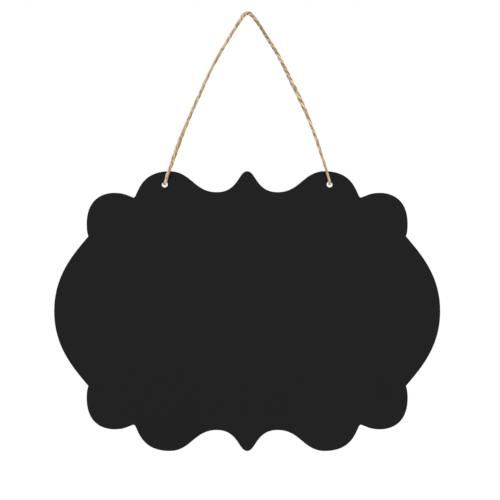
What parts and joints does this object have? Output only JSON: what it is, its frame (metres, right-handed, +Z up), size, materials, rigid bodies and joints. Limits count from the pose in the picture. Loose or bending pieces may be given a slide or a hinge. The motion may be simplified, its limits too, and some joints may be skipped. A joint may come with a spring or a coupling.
{
  "type": "wall chalkboard",
  "caption": "Flat black chalkboard with a scalloped, waved outline, hung from a loop of jute twine that is knotted behind the board.",
  "frame": {"origin": "the hanging point: the underside of the twine's top bend, where a nail or hook carries it", "axes": "+X to the right along the board seen from its front, +Y back towards the wall, +Z up. The chalk face looks along -Y"},
  "size_m": [0.25, 0.0131, 0.2845],
  "materials": {
    "painted_fibre": "dense fibreboard with its edge painted matte black",
    "chalk_black": "matte black chalk-writing surface",
    "jute": "natural laid jute twine"
  },
  "bodies": {
    "twine": {"twine_loop": "jute"},
    "board": {"core_panel": "painted_fibre", "front_sheet": "chalk_black", "back_sheet": "chalk_black", "left_knot": "jute", "right_knot": "jute"}
  },
  "joints": [
    {"name": "board_swing", "type": "hinge", "parent": "twine", "child": "board", "pos_m": [0, 0, -0.1097], "axis": [-1, 0, 0], "range_deg": [0, 175]}
  ]
}
